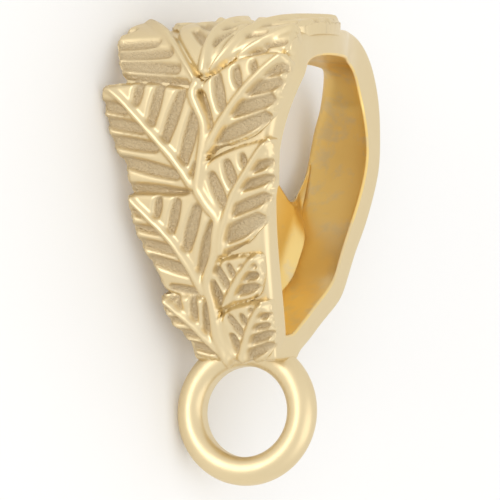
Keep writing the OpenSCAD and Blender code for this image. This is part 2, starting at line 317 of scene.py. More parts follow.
STEM = (
    (-0.27, 11.93), (-0.52, 11.65), (-0.27, 11.05), (0.07, 10.44), (0.09, 9.95), (-0.02, 9.34),
    (-0.24, 8.42), (-0.45, 7.62), (-0.31, 7.38), (0.12, 6.75), (0.56, 6.3), (0.32, 5.67),
    (0.23, 5.1), (-0.01, 4.51), (-0.39, 3.92), (-0.52, 3.32), (-0.41, 2.72), (-0.45, 2.11),
    (-0.58, 1.16), (-0.27, 0.21),
)

# The casting rests on its left side: this upright direction points to the surface, and the
# shift puts the middle of its box over the origin.
REST_DOWN = (-0.9640, 0.2420, -0.1070)
REST_SHIFT = (-5.16964, -4.90024, 3.90791)

# How the relief is cast and worn, in mm

LEAF_WEAR = 0.05  # taken off the leaves all over
SHOULDER_WIDTH, SHOULDER_DROP = 0.22, 0.13  # a leaf rounds down to its edge
LEAF_SLOPE = 0.13  # breadth of a leaf's sloping side
CREASE_WIDTH, CREASE_DEPTH = 0.11, 0.14  # the recess beside a leaf that lies on top
RIB_TAPER = 0.2  # share of the rib's width that each side loses towards the tip
RIB_CLEARANCE = 0.12  # breadth over which a groove ends at the midrib
GROOVE_SLOPE = 0.17  # breadth of a groove's sloping wall
NARROW_GROOVES = (0.11, 0.17)  # stated half widths between which the widening sets in
NARROW_WIDTH = 0.95  # share of the stated width that the narrowest grooves get
GROOVE_RUN_OUT = 0.14  # a groove on the left runs on so far past its stated end
STEM_SLOPE, STEM_CROWN = 0.14, 0.2  # breadth of the stem's sides and height of its crown
OUTLINE_SPARE = 0.03  # the layer reaches so far past the leaves' outlines
TIP_WEAR, WORN_FROM, WORN_OVER = 0.24, 18.3, 2.4  # the tips on top of the loop are worn down

# Band and web wear, and painted reflection inside: a length in mm, shares, and rows of the loop
# table

OUTER_WEAR = 1.6  # share of the edge rounding that the outer edges get
PANEL_EDGE_WEAR = 0.22  # further rounding of the panel's right edge
# The part that looks in is painted a deeper gold, for gold reflected in gold.
INSIDE_PART = (0.52, 0.97)  # the part of a section, from the outer left corner on, that looks in
STRAP_LIP_ROWS = (12.5, 14.0, 17.8, 19.3)
PANEL_EDGE_ROWS = (2, 4, 10, 12)
# Low in the strap less of the painted reflection's deep gold is laid on the inside, by these rows
# and shares.
PALE_INSIDE_ROWS = (20.2, 21.2, 22.6, 23.6)
DEEP_GOLD_SHARES = (1.0, 0.25, 0.25, 0.9)  # share of the deep colour at those rows
WEB_STEP = 0.05  # spacing of the web's mesh
WEB_ROOT = 0.7  # how near the inner line the web ends inside the band, from the outer line
CREST_ROUND, CREST_DROP = 0.2, 0.16  # the crest's inner edge is rounded
THIN_FROM, THIN_OVER = 0.71, 0.11  # shares of the loop's depth where the web starts to thin
THIN_SHARE, THIN_HEIGHT = 0.93, 3.0  # how much it thins at the crest, and how far down

# Sizes and colours a user would change

def size(name, description, default, low=0.0, high=50.0):
    """A size in millimetres on the scene."""
    return FloatProperty(name=name, description=description, default=default, min=low, max=high)


def angle(name, description, default):
    """An angle, stated here in degrees."""
    return FloatProperty(name=name, description=description, default=math.radians(default),
                         subtype="ANGLE", min=-math.pi, max=math.pi)


def shade(name, description, colour):
    """An sRGB hex colour held as a linear one."""
    return FloatVectorProperty(name=name, description=description, default=linear(colour),
                               subtype="COLOR", size=3, min=0.0, max=1.0)


def linear(colour):
    """Turns an sRGB hex colour to linear red, green and blue."""
    parts = [int(colour[i:i + 2], 16) / 255 for i in (1, 3, 5)]
    return tuple(c / 12.92 if c <= 0.04045 else ((c + 0.055) / 1.055) ** 2.4 for c in parts)


class BailSizes(bpy.types.PropertyGroup):
    """Sizes of the casting, in millimetres."""

    loop_height: size("Loop height", "From the foot to the top of the plain band", 14.1)
    loop_depth: size("Loop depth", "From the panel to the back of the strap", 11.8)
    band_wall: size("Band wall", "Thickness of the band", 0.9)
    panel_left: size("Panel left", "Half width of the panel, left of the stem", 4.9)
    panel_right: size("Panel right", "Half width of the panel, right of the stem", 3.7)
    strap_half: size("Strap half width", "Half width of the strap at the back", 1.5)
    foot_half: size("Foot half width", "Half width of the foot", 2.0)
    edge_round: size("Edge rounding", "Radius that tumbling gives the band's edges", 0.12)
    lip_round: size("Lip rounding", "Radius of the strap's far inner edge", 0.7)
    leaf_edge: size("Leaf edge", "Thickness of a leaf at its edge", 0.36)
    rib_height: size("Rib height", "Height of a midrib above its leaf", 0.2)
    rib_width: size("Rib width", "Width of a midrib at its base", 0.5)
    leaf_root: size("Leaf root", "How deep the leaves are rooted in the band", 0.3)
    groove_depth: size("Groove depth", "Depth of the vein grooves", 0.26)
    groove_width: size("Groove width", "Share of their stated width that wide grooves get", 1.35,
                       0.1, 3.0)
    stem_width: size("Stem width", "Width of the stem between the leaves", 0.5)
    relief_step: size("Relief step", "Spacing of the relief's mesh", 0.054, 0.03, 0.5)
    web_wall: size("Web wall", "Thickness of the side web", 0.5)
    web_hollow: size("Web hollow", "Radius of the hollow where the web meets the band", 0.9)
    web_height: size("Web height", "Height of the web's crest above the foot", 7.85)
    web_notch: size("Web notch", "Drop from the crest to the notch beside the strap", 1.08)
    ring_radius: size("Ring radius", "Radius of the wire's centre line", 2.51)
    ring_wire: size("Ring wire", "Diameter of the ring's wire", 1.28)
    eye_ream: size("Eye ream", "How far the eye is reamed into the wire", 0.06)
    ring_sink: size("Ring sink", "How far the wire is sunk into the foot", 0.95)
    ring_turn: angle("Ring turn", "Turn of the ring about the upright line", 11.0)
    ring_lean: angle("Ring lean", "Lean of the ring from the upright line", 5.0)
    band_steps: IntProperty(name="Band steps", default=10, min=3, max=24,
                            description="Sections of the band from one row to the next")


class BailColours(bpy.types.PropertyGroup):
    """Colours of the casting and of the studio."""

    gold: shade("Gold", "Polished pale yellow gold", "#E0CDA4")
    # Partly painted shade: the grooves' unpolished gold is also made darker for the shade in them.
    cast_skin_and_shade: shade("Cast skin", "Unpolished gold in the grooves", "#CDBB99")
    # Painted reflection: a deeper gold that stands in for gold reflected in gold inside the loop.
    inner_reflection_gold: shade("Inner gold", "Deeper gold inside the loop", "#F3D48A")
    floor: shade("Floor", "Studio floor", "#F4F3F1")


# The loop

def turn_left(v):
    return np.array((-v[1], v[0]))


def unit(v):
    v = np.asarray(v, float)
    return v / np.linalg.norm(v)


class Loop:
    """The band's outer and inner lines and half widths, at any place along the rows."""

    FINE = 24  # samples from one row to the next

    def __init__(self, sizes):
        halves = {PANEL: (sizes.panel_left, sizes.panel_right),
                  STRAP: (sizes.strap_half, sizes.strap_half),
                  FOOT: (sizes.foot_half, sizes.foot_half)}
        self.rows = len(LOOP_TABLE)
        outer = [np.array((r[0] * sizes.loop_depth, r[1] * sizes.loop_height))
                 for r in LOOP_TABLE]
        inner = []
        for i, r in enumerate(LOOP_TABLE):
            ahead, behind = outer[(i + 1) % self.rows], outer[i - 1]
            inner.append(outer[i] - turn_left(unit(ahead - behind)) * sizes.band_wall * r[2])
        self.outer = self.smooth_line(outer, 0.3)
        self.inner = self.smooth_line(inner, 0.5)
        self.left = self.smooth_line([r[3] * halves[r[5]][0] for r in LOOP_TABLE], 0.35)
        self.right = self.smooth_line([r[4] * halves[r[5]][1] for r in LOOP_TABLE], 0.35)
        places = np.arange(FIRST_PANEL_ROW, LAST_PANEL_ROW + 0.001, 0.1)
        points = np.array([self.at(self.outer, s) for s in places])
        steps = np.linalg.norm(np.diff(points, axis=0), axis=1)
        self.places, self.lengths = places, np.concatenate(((0.0,), np.cumsum(steps)))

    def smooth_line(self, values, spread):
        """A curve through the rows, worn smooth over a share of a row each way."""
        values = np.asarray(values, float)
        fine = []
        for i in range(self.rows):
            a, b, c, d = (values[(i + k) % self.rows] for k in (-1, 0, 1, 2))
            for t in np.arange(self.FINE) / self.FINE:
                fine.append(0.5 * (2 * b + (c - a) * t + (2 * a - 5 * b + 4 * c - d) * t * t
                                   + (3 * b - a - 3 * c + d) * t * t * t))
        fine = np.array(fine)
        reach = int(3 * spread * self.FINE)
        shares = np.exp(-0.5 * (np.arange(-reach, reach + 1) / (spread * self.FINE)) ** 2)
        shares /= shares.sum()
        return sum(share * np.roll(fine, k - reach, axis=0) for k, share in enumerate(shares))

    def at(self, line, s):
        """The value of a line at a place along the rows."""
        f = s * self.FINE
        i = math.floor(f)
        return line[i % len(line)] * (1 - f + i) + line[(i + 1) % len(line)] * (f - i)

    def panel_frame(self, v):
        """A point on the band's face and its outward direction, at a length up the panel."""
        s = float(np.interp(v, self.lengths, self.places))
        return self.at(self.outer, s), turn_left(
            unit(self.at(self.outer, s + 0.1) - self.at(self.outer, s - 0.1)))


def rest_matrix():
    """Lays the upright casting on its left side and scales it to metres."""
    up = -unit(REST_DOWN)
    along = unit(np.array((0, 0, 1)) - up * up[2])
    across = np.cross(along, up)
    m = Matrix.Identity(4)
    for i, axis in enumerate((across, along, up)):
        for j in range(3):
            m[i][j] = axis[j] * MM
        m[i][3] = REST_SHIFT[i] * MM
    return m


# Meshes

def finish_piece(name, mesh, material, smooth_angle=None):
    """Lays an upright mesh in millimetres at rest, in metres, and makes it a piece."""
    mesh.transform(rest_matrix())
    # No point lies below the surface that the casting rests on.
    for vertex in mesh.vertices:
        vertex.co.z = max(vertex.co.z, 0.0)
    bm = bmesh.new()
    bm.from_mesh(mesh)
    bmesh.ops.remove_doubles(bm, verts=bm.verts, dist=1e-7)
    bmesh.ops.recalc_face_normals(bm, faces=bm.faces)
    bm.to_mesh(mesh)
    bm.free()
    mesh.polygons.foreach_set("use_smooth", [True] * len(mesh.polygons))
    if smooth_angle is not None:
        mesh.set_sharp_from_angle(angle=math.radians(smooth_angle))
    mesh.materials.clear()
    mesh.materials.append(material)
    piece = bpy.data.objects.new(name, mesh)
    bpy.context.scene.collection.objects.link(piece)
    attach(piece, "root")
    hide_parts(NODE)
    return piece


def mesh_from(name, points, faces):
    mesh = bpy.data.meshes.new(name)
    mesh.from_pydata([tuple(p) for p in points], [], faces)
    return mesh


def rounded_section(l, r, outer, inner, radii, arc_steps=5, flat_steps=5):
    """One section of the band: a rectangle between two lines, with its own radius at each corner.

    The radii run from the outer left corner to the right and round to the inner left one.
    """
    out = unit(outer - inner)
    wall = np.linalg.norm(outer - inner)
    most = min(wall, r - l) * 0.48
    corners = (((l, wall), (-1, 1)), ((r, wall), (1, 1)), ((r, 0.0), (1, -1)), ((l, 0.0), (-1, -1)))
    starts = (180, 90, 0, -90)
    flat = []
    for ((x, h), (sx, sh)), start, radius in zip(corners, starts, radii):
        radius = min(radius, most)
        cx, ch = x - sx * radius, h - sh * radius
        for k in range(arc_steps + 1):
            a = math.radians(start - 90 * k / arc_steps)
            flat.append((cx + radius * math.cos(a), ch + radius * math.sin(a)))
    points = []
    for k, p in enumerate(flat):
        points.append(p)
        q = flat[(k + 1) % len(flat)]
        if k % (arc_steps + 1) == arc_steps:
            for j in range(1, flat_steps):
                t = j / flat_steps
                points.append((p[0] * (1 - t) + q[0] * t, p[1] * (1 - t) + q[1] * t))
    return [(x, inner[0] + out[0] * h, inner[1] + out[1] * h) for x, h in points]


def band_mesh(sizes, loop):
    """The plain band, swept round the loop with tumbled edges."""
    count = loop.rows * sizes.band_steps
    rings = []
    for i in range(count):
        s = i / sizes.band_steps
        # The right lip of the strap is worn rounder on its inside than the other edges.
        on_strap = float(np.interp(s, STRAP_LIP_ROWS, (0, 1, 1, 0)))
        edge = sizes.edge_round
        lip = edge + (sizes.lip_round - edge) * on_strap
        # Beside the leaves the panel's right edge is worn round too.
        on_panel = float(np.interp(s, PANEL_EDGE_ROWS, (0, 1, 1, 0)))
        right_edge = edge * OUTER_WEAR + PANEL_EDGE_WEAR * on_panel
        rings.append(rounded_section(-loop.at(loop.left, s), loop.at(loop.right, s),
                                     loop.at(loop.outer, s), loop.at(loop.inner, s),
                                     (edge * OUTER_WEAR, right_edge, edge, lip)))
    n = len(rings[0])
    faces = []
    for i in range(count):
        for j in range(n):
            faces.append((i * n + j, i * n + (j + 1) % n,
                          (i + 1) % count * n + (j + 1) % n, (i + 1) % count * n + j))
    mesh = mesh_from("band", [p for ring in rings for p in ring], faces)
    first, last = INSIDE_PART
    inner = [1.0 if n * first < j < n * last else 0.0 for j in range(n)]
    # Low in the strap the inside takes less of the painted reflection's deep gold, so it is paler.
    deep_gold_by_row = np.interp(np.arange(count) / sizes.band_steps, PALE_INSIDE_ROWS, DEEP_GOLD_SHARES)
    store(mesh, "inside", [share * part for share in deep_gold_by_row for part in inner])
    return mesh


def rounded(points, closed=True, rounds=2):
    """Cuts the corners of a line twice, which makes it a smooth curve."""
    points = np.asarray(points, float)
    for _ in range(rounds):
        ahead = np.roll(points, -1, axis=0) if closed else points[1:]
        behind = points if closed else points[:-1]
        cut = np.stack((behind * 0.75 + ahead * 0.25, behind * 0.25 + ahead * 0.75), axis=1)
        cut = cut.reshape(-1, 2)
        points = cut if closed else np.vstack((points[:1], cut, points[-1:]))
    return points


def distance_to(line, x, v):
    """The distance to a line of points, and the share of its length where it is nearest."""
    best = np.full(x.shape, 1e9)
    where = np.zeros(x.shape)
    steps = np.linalg.norm(np.diff(line, axis=0), axis=1)
    starts = np.concatenate(((0.0,), np.cumsum(steps)))
    for k, (p, q) in enumerate(zip(line[:-1], line[1:])):
        span = q - p
        t = np.clip(((x - p[0]) * span[0] + (v - p[1]) * span[1]) / max(span @ span, 1e-9), 0, 1)
        gap = np.hypot(x - p[0] - t * span[0], v - p[1] - t * span[1])
        nearer = gap < best
        best = np.where(nearer, gap, best)
        where = np.where(nearer, (starts[k] + t * steps[k]) / starts[-1], where)
    return best, where


def distance_inside(outline, x, v):
    """The distance to a closed outline, above zero inside it."""
    ring = np.vstack((outline, outline[:1]))
    inside = np.zeros(x.shape, bool)
    for p, q in zip(ring[:-1], ring[1:]):
        if p[1] == q[1]:
            continue
        crosses = (p[1] > v) != (q[1] > v)
        inside ^= crosses & (x < (q[0] - p[0]) * (v - p[1]) / (q[1] - p[1]) + p[0])
    gap, _ = distance_to(ring, x, v)
    return np.where(inside, gap, -gap)


def eased(share):
    """A share from 0 to 1 with a soft start and a soft end."""
    share = np.clip(share, 0.0, 1.0)
    return share * share * (3 - 2 * share)


def relief(sizes, xs, vs):
    """Heights over the band's face, the distance inside the outline, and the share of groove."""
    x, v = np.meshgrid(xs, vs)
    height = np.zeros(x.shape)
    edge = np.full(x.shape, -1.0)
    groove = np.zeros(x.shape)
    low = sizes.leaf_edge - LEAF_WEAR
    for name, lift, outline, midrib, grooves in LEAVES:
        inside = distance_inside(rounded(outline), x, v)
        vein, along = distance_to(rounded(midrib, closed=False), x, v)
        shoulder = 1.0 - np.clip(inside / SHOULDER_WIDTH, 0.0, 1.0)
        blade = low + lift * along - SHOULDER_DROP * shoulder ** 2
        rib_half = sizes.rib_width * (0.5 - RIB_TAPER * along)
        rib = sizes.rib_height * np.sqrt(np.clip(1 - (vein / rib_half) ** 2, 0, 1))
        cut = np.zeros(x.shape)
        for x0, v0, x1, v1, half in grooves:
            ends = np.array(((x0, v0), (x1, v1)))
            if name.startswith("left"):
                ends = opened(ends, rounded(midrib, closed=False))
            gap, part = distance_to(ends, x, v)
            # Narrow grooves stay narrow, so that the small leaves keep their flats.
            widened = np.interp(half, NARROW_GROOVES, (NARROW_WIDTH, sizes.groove_width))
            # Each groove is fullest in its middle and narrows to its ends.
            wide = half * widened * (0.85 + 0.25 * np.sin(np.pi * part))
            cut = np.maximum(cut, eased((wide - gap) / GROOVE_SLOPE + 0.5))
        cut = cut * eased((vein - 0.75 * rib_half) / RIB_CLEARANCE)
        share = eased(inside / LEAF_SLOPE + 0.5)
        crease = CREASE_DEPTH * np.exp(-(np.clip(-inside, 0, None) / CREASE_WIDTH) ** 2)
        height = (height - crease) * (1 - share) + (blade + rib - sizes.groove_depth * cut) * share
        groove = groove * (1 - share) + cut * share
        edge = np.maximum(edge, inside)
    stem, _ = distance_to(rounded(STEM, closed=False), x, v)
    half = sizes.stem_width / 2
    share = eased((half - stem) / STEM_SLOPE + 0.5)
    crown = low + STEM_CROWN * np.sqrt(np.clip(1 - (stem / (half * 1.2)) ** 2, 0, 1))
    height = np.maximum(height, height * (1 - share) + crown * share)
    groove = groove * (1 - share)
    edge = np.maximum(edge + OUTLINE_SPARE, half - stem)
    # On top of the loop the tips are worn down to the band.
    height -= TIP_WEAR * eased((v - WORN_FROM) / WORN_OVER)
    height = soften(soften(height, edge > 0), edge > 0)
    return height, edge, groove


def opened(ends, midrib):
    """Runs a groove's outer end on, so that it opens at the leaf's edge."""
    reach = [np.min(np.linalg.norm(midrib - end, axis=1)) for end in ends]
    far = int(reach[1] > reach[0])
    ends[far] += unit(ends[far] - ends[1 - far]) * GROOVE_RUN_OUT
    return ends


def soften(height, mask):
    """Takes the saw marks off the relief, as tumbling does, without crossing its outline."""
    weight = mask.astype(float)
    total = np.zeros(height.shape)
    count = np.zeros(height.shape)
    for di, dj, share in ((0, 0, 4), (1, 0, 2), (-1, 0, 2), (0, 1, 2), (0, -1, 2),
                          (1, 1, 1), (1, -1, 1), (-1, 1, 1), (-1, -1, 1)):
        total += share * np.roll(height * weight, (di, dj), (0, 1))
        count += share * np.roll(weight, (di, dj), (0, 1))
    return np.where(mask, total / np.maximum(count, 1e-6), height)


def closed_sheet(name, edge, top, bottom, skin_and_shade, recess):
    """A closed sheet between two grids of points, cut along the line where edge is zero.

    The recess is a share for each point of the top, kept under the given name for the material,
    which paints the grooves' shade on the leaves and the deep gold reflection on the web by it.
    """
    edge = edge.copy()
    edge[0, :] = edge[-1, :] = -1.0
    edge[:, 0] = edge[:, -1] = -1.0
    inside = edge > 0
    tops, bottoms, grooves = [], [], []
    index, crossings = {}, {}
    for j, i in zip(*np.nonzero(inside)):
        index[j, i] = len(tops)
        tops.append(top[j, i])
        bottoms.append(bottom[j, i])
        grooves.append(recess[j, i])

    def crossing(a, b):
        key = (a, b) if a < b else (b, a)
        if key not in crossings:
            p, q = (a, b) if inside[a] else (b, a)
            t = float(np.clip(edge[p] / (edge[p] - edge[q]), 0.12, 0.88))
            crossings[key] = len(tops)
            tops.append(top[p] * (1 - t) + top[q] * t)
            bottoms.append(bottom[p] * (1 - t) + bottom[q] * t)
            grooves.append(recess[p])
        return crossings[key]

    faces = []
    cells = inside[:-1, :-1] | inside[1:, :-1] | inside[:-1, 1:] | inside[1:, 1:]
    for j, i in zip(*np.nonzero(cells)):
        corners = ((j, i), (j, i + 1), (j + 1, i + 1), (j + 1, i))
        face = []
        for a, b in zip(corners, corners[1:] + corners[:1]):
            if inside[a]:
                face.append(index[a])
            if inside[a] != inside[b]:
                face.append(crossing(a, b))
        faces.append(face)
    count = len(tops)
    sides = {(p, q) for face in faces for p, q in zip(face, face[1:] + face[:1])}
    under = [[k + count for k in reversed(face)] for face in faces]
    walls = [(q, p, p + count, q + count) for p, q in sides if (q, p) not in sides]
    mesh = mesh_from(name, tops + bottoms, faces + under + walls)
    store(mesh, skin_and_shade, grooves + [0.0] * count)
    return mesh


def leaves_mesh(sizes, loop):
    """The leaf layer: the relief as one closed sheet that wraps over the band."""
    step = sizes.relief_step
    xs = np.arange(-sizes.panel_left * 1.12, sizes.panel_right * 1.16, step)
    vs = np.arange(-3 * step, 1.55 * sizes.loop_height, step)
    height, edge, groove = relief(sizes, xs, vs)
    rows = [loop.panel_frame(v) for v in vs]
    middle = np.array([r[0] for r in rows])[:, None, :]
    out = np.array([r[1] for r in rows])[:, None, :]
    # Past the outline the top keeps the height of its nearest place inside.
    height = fill_outside(height, edge > 0)
    across = np.broadcast_to(xs[None, :, None], (*height.shape, 1))
    top = np.concatenate((across, middle + out * height[..., None]), axis=2)
    low = np.full((*height.shape, 1), -sizes.leaf_root)
    bottom = np.concatenate((across, middle + out * low), axis=2)
    # The groove share goes to the material, which paints the grooves darker for their shade.
    return closed_sheet("leaves", edge, top, bottom, "cast_skin_and_shade", groove)


def fill_outside(values, mask):
    """Carries values a few cells past the mask's edge."""
    values, known = np.where(mask, values, 0.0), mask.astype(float)
    for _ in range(2):
        total, count = np.zeros(values.shape), np.zeros(values.shape)
        for di, dj in ((1, 0), (-1, 0), (0, 1), (0, -1), (1, 1), (1, -1), (-1, 1), (-1, -1)):
            total += np.roll(values * known, (di, dj), (0, 1))
            count += np.roll(known, (di, dj), (0, 1))
        grown = (known == 0) & (count > 0)
        values = np.where(grown, total / np.maximum(count, 1e-6), values)
        known = np.where(grown, 1.0, known)
    return values


def store(mesh, name, values):
    """Keeps a number for each point, which a material may read."""
    layer = mesh.attributes.new(name, "FLOAT", "POINT")
    layer.data.foreach_set("value", [float(v) for v in values])


def web_mesh(sizes, loop):
    """The web that closes the low left side of the loop, with a hollow where it meets the band."""
    ys = np.arange(0.0, sizes.loop_depth * 1.02, WEB_STEP)
    zs = np.arange(-0.2, sizes.web_height + 0.9, WEB_STEP)
    y, z = np.meshgrid(ys, zs)
    root = loop.outer * (1 - WEB_ROOT) + loop.inner * WEB_ROOT
    within = distance_inside(root[::6], y, z)
    off_band = distance_inside(loop.inner[::6], y, z)
    # The crest falls to the notch and rises again along the strap.
    shares, drops = zip(*WEB_CREST)
    crest = np.interp(y, np.array(shares) * sizes.loop_depth,
                      sizes.web_height - np.array(drops) * sizes.web_notch)
    edge = np.minimum(within, crest - z)
    outer_x = 0.01 - sizes.strap_half
    # The inner face swells to the band in a hollow, and thins to the crest beside the strap.
    near = np.clip(1 - off_band / sizes.web_hollow, 0, 1)
    full = sizes.web_wall + 0.5 * sizes.web_hollow * near ** 2
    beside_strap = eased((y / sizes.loop_depth - THIN_FROM) / THIN_OVER)
    thin = THIN_SHARE * beside_strap * (1 - eased((crest - z) / THIN_HEIGHT))
    round_off = CREST_DROP * (1 - eased((crest - z) / CREST_ROUND))
    inner_x = outer_x + (full - round_off) * (1 - thin)
    top = np.stack((inner_x, y, z), axis=2)
    bottom = np.stack((np.full(y.shape, outer_x), y, z), axis=2)
    # The whole web takes the deep gold painted for gold reflected in gold.
    return closed_sheet("side_web", edge, top, bottom, "inside", np.ones(y.shape))


# Nodes

def add_node(tree, kind, settings=None, values=None, links=None, place=(0, 0)):
    """Adds a node with its settings, its sockets' values and the links into it."""
    node = tree.nodes.new(kind)
    node.location = place
    for key, value in (settings or {}).items():
        setattr(node, key, value)
    for key, value in (values or {}).items():
        node.inputs[key].default_value = value
    for key, source in (links or {}).items():
        tree.links.new(source, node.inputs[key])
    return node


def ring_tree():
    """The ring's wire swept round a circle, with a straight land reamed inside its eye."""
    tree = bpy.data.node_groups.new("wire ring", "GeometryNodeTree")
    face = tree.interface
    for name in ("Ring radius", "Wire diameter", "Eye radius"):
        face.new_socket(name, in_out="INPUT", socket_type="NodeSocketFloat")
    for name in ("Round steps", "Wire steps"):
        face.new_socket(name, in_out="INPUT", socket_type="NodeSocketInt")
    face.new_socket("Gold", in_out="INPUT", socket_type="NodeSocketMaterial")
    face.new_socket("Ring", in_out="OUTPUT", socket_type="NodeSocketGeometry")
    given = add_node(tree, "NodeGroupInput").outputs
    half = add_node(tree, "ShaderNodeMath", {"operation": "MULTIPLY"}, {1: 0.5},
                    {0: given["Wire diameter"]})
    circle = add_node(tree, "GeometryNodeCurvePrimitiveCircle", None, None,
                      {"Resolution": given["Round steps"], "Radius": given["Ring radius"]})
    wire = add_node(tree, "GeometryNodeCurvePrimitiveCircle", None, None,
                    {"Resolution": given["Wire steps"], "Radius": half.outputs[0]})
    swept = add_node(tree, "GeometryNodeCurveToMesh", None, None,
                     {"Curve": circle.outputs["Curve"], "Profile Curve": wire.outputs["Curve"]})
    where = add_node(tree, "GeometryNodeInputPosition")
    flat = add_node(tree, "ShaderNodeVectorMath", {"operation": "MULTIPLY"},
                    {1: (1.0, 1.0, 0.0)}, {0: where.outputs[0]})
    reach = add_node(tree, "ShaderNodeVectorMath", {"operation": "LENGTH"}, None,
                     {0: flat.outputs[0]})
    share = add_node(tree, "ShaderNodeMath", {"operation": "DIVIDE"}, None,
                     {0: given["Eye radius"], 1: reach.outputs["Value"]})
    more = add_node(tree, "ShaderNodeMath", {"operation": "SUBTRACT"}, {1: 1.0},
                    {0: share.outputs[0]})
    push = add_node(tree, "ShaderNodeMath", {"operation": "MAXIMUM"}, {1: 0.0},
                    {0: more.outputs[0]})
    offset = add_node(tree, "ShaderNodeVectorMath", {"operation": "SCALE"}, None,
                      {0: flat.outputs[0], "Scale": push.outputs[0]})
    reamed = add_node(tree, "GeometryNodeSetPosition", None, None,
                      {"Geometry": swept.outputs[0], "Offset": offset.outputs[0]})
    real = add_node(tree, "GeometryNodeRealizeInstances", None, None,
                    {"Geometry": reamed.outputs[0]})
    painted = add_node(tree, "GeometryNodeSetMaterial", None, None,
                       {"Geometry": real.outputs[0], "Material": given["Gold"]})
    add_node(tree, "NodeGroupOutput", None, None, {"Ring": painted.outputs[0]})
    return tree


def grown_mesh(name, tree, inputs):
    """Runs a geometry tree with the named inputs and returns the plain mesh it makes."""
    seed = bpy.data.objects.new(name, bpy.data.meshes.new(name))
    bpy.context.scene.collection.objects.link(seed)
    modifier = seed.modifiers.new("shape", "NODES")
    modifier.node_group = tree
    for item in tree.interface.items_tree:
        if item.item_type == "SOCKET" and item.in_out == "INPUT":
            modifier[item.identifier] = inputs[item.name]
    shaped = seed.evaluated_get(bpy.context.evaluated_depsgraph_get())
    mesh = bpy.data.meshes.new_from_object(shaped)
    bpy.data.objects.remove(seed)
    return mesh


# Materials

def cast_gold(colours):
    """Yellow gold of 14 carat, cast from wax and tumbled.

    The high places take a soft polish with faint ripples, which gives broad pale reflections.
    The floors of the grooves keep the cast skin, grainy and matt, so they look greyer; their colour
    is also painted darker for the shade in the grooves. Inside the loop a deeper gold is painted
    for gold reflected in gold.
    """
    material = bpy.data.materials.new("cast 14 carat gold, tumbled")
    material.use_nodes = True
    tree = material.node_tree
    tree.nodes.clear()
    place = add_node(tree, "ShaderNodeTexCoord").outputs["Object"]
    # The groove share: cast skin, with its colour painted darker for the shade in the grooves.
    skin_and_shade = add_node(tree, "ShaderNodeAttribute", {"attribute_name": "cast_skin_and_shade"}).outputs["Fac"]
    inside = add_node(tree, "ShaderNodeAttribute", {"attribute_name": "inside"}).outputs["Fac"]
    # Cloudy patches about 1.5 mm across, where the tumbling has worn the surface more or less.
    wear = add_node(tree, "ShaderNodeTexNoise", None,
                    {"Scale": 1 / (1.5 * MM), "Detail": 3.0, "Roughness": 0.55},
                    {"Vector": place}).outputs["Fac"]
    # Soft ripples about 0.6 mm apart, as wax and tumbling leave on a casting.
    ripple = add_node(tree, "ShaderNodeTexNoise", None,
                      {"Scale": 1 / (0.6 * MM), "Detail": 2.0, "Roughness": 0.5},
                      {"Vector": place}).outputs["Fac"]
    # Grains of the investment, 0.09 mm, which is coarser than the real grit so that it shows.
    grain = add_node(tree, "ShaderNodeTexNoise", None,
                     {"Scale": 1 / (0.09 * MM), "Detail": 2.0, "Roughness": 0.7},
                     {"Vector": place}).outputs["Fac"]
    # Random patches about 1 mm across inside the loop, where the painted deep gold gives way to the
    # outside's paler gold.
    patches = add_node(tree, "ShaderNodeTexNoise", None,
                       {"Scale": 1 / (1.1 * MM), "Detail": 3.0, "Roughness": 0.6},
                       {"Vector": place}).outputs["Fac"]
    reflection_kept = add_node(tree, "ShaderNodeMapRange", None,
                        {"From Min": 0.5, "From Max": 0.64, "To Min": 1.0, "To Max": 0.35},
                        {"Value": patches}).outputs["Result"]
    # The share of deeper gold painted inside the loop for gold reflected in gold.
    painted_reflection_share = add_node(tree, "ShaderNodeMath", {"operation": "MULTIPLY"}, None,
                    {0: inside, 1: reflection_kept}).outputs[0]
    gold = add_node(tree, "ShaderNodeMix", {"data_type": "RGBA"},
                    {"A": (*colours.gold, 1.0), "B": (*colours.inner_reflection_gold, 1.0)},
                    {"Factor": painted_reflection_share}).outputs["Result"]
    # Painted shade, in part: the grooves take the cast skin's darker, greyer colour.
    colour = add_node(tree, "ShaderNodeMix", {"data_type": "RGBA"},
                      {"B": (*colours.cast_skin_and_shade, 1.0)},
                      {"Factor": skin_and_shade, "A": gold}).outputs["Result"]
    polished = add_node(tree, "ShaderNodeMapRange", None,
                        {"From Min": 0.3, "From Max": 0.7, "To Min": 0.32, "To Max": 0.44},
                        {"Value": wear}).outputs["Result"]
    rough = add_node(tree, "ShaderNodeMix", {"data_type": "FLOAT"}, {"B": 0.58},
                     {"Factor": skin_and_shade, "A": polished}).outputs["Result"]
    soft = add_node(tree, "ShaderNodeBump", None, {"Strength": 0.18, "Distance": 0.05 * MM},
                    {"Height": ripple}).outputs["Normal"]
    gritty = add_node(tree, "ShaderNodeMath", {"operation": "MULTIPLY"}, {1: 0.9},
                      {0: skin_and_shade}).outputs[0]
    uneven = add_node(tree, "ShaderNodeBump", None, {"Distance": 0.1 * MM},
                      {"Height": grain, "Strength": gritty, "Normal": soft}).outputs["Normal"]
    shader = add_node(tree, "ShaderNodeBsdfPrincipled", None, {"Metallic": 1.0},
                      {"Base Color": colour, "Roughness": rough, "Normal": uneven})
    add_node(tree, "ShaderNodeOutputMaterial", None, None, {"Surface": shader.outputs["BSDF"]})
    return material


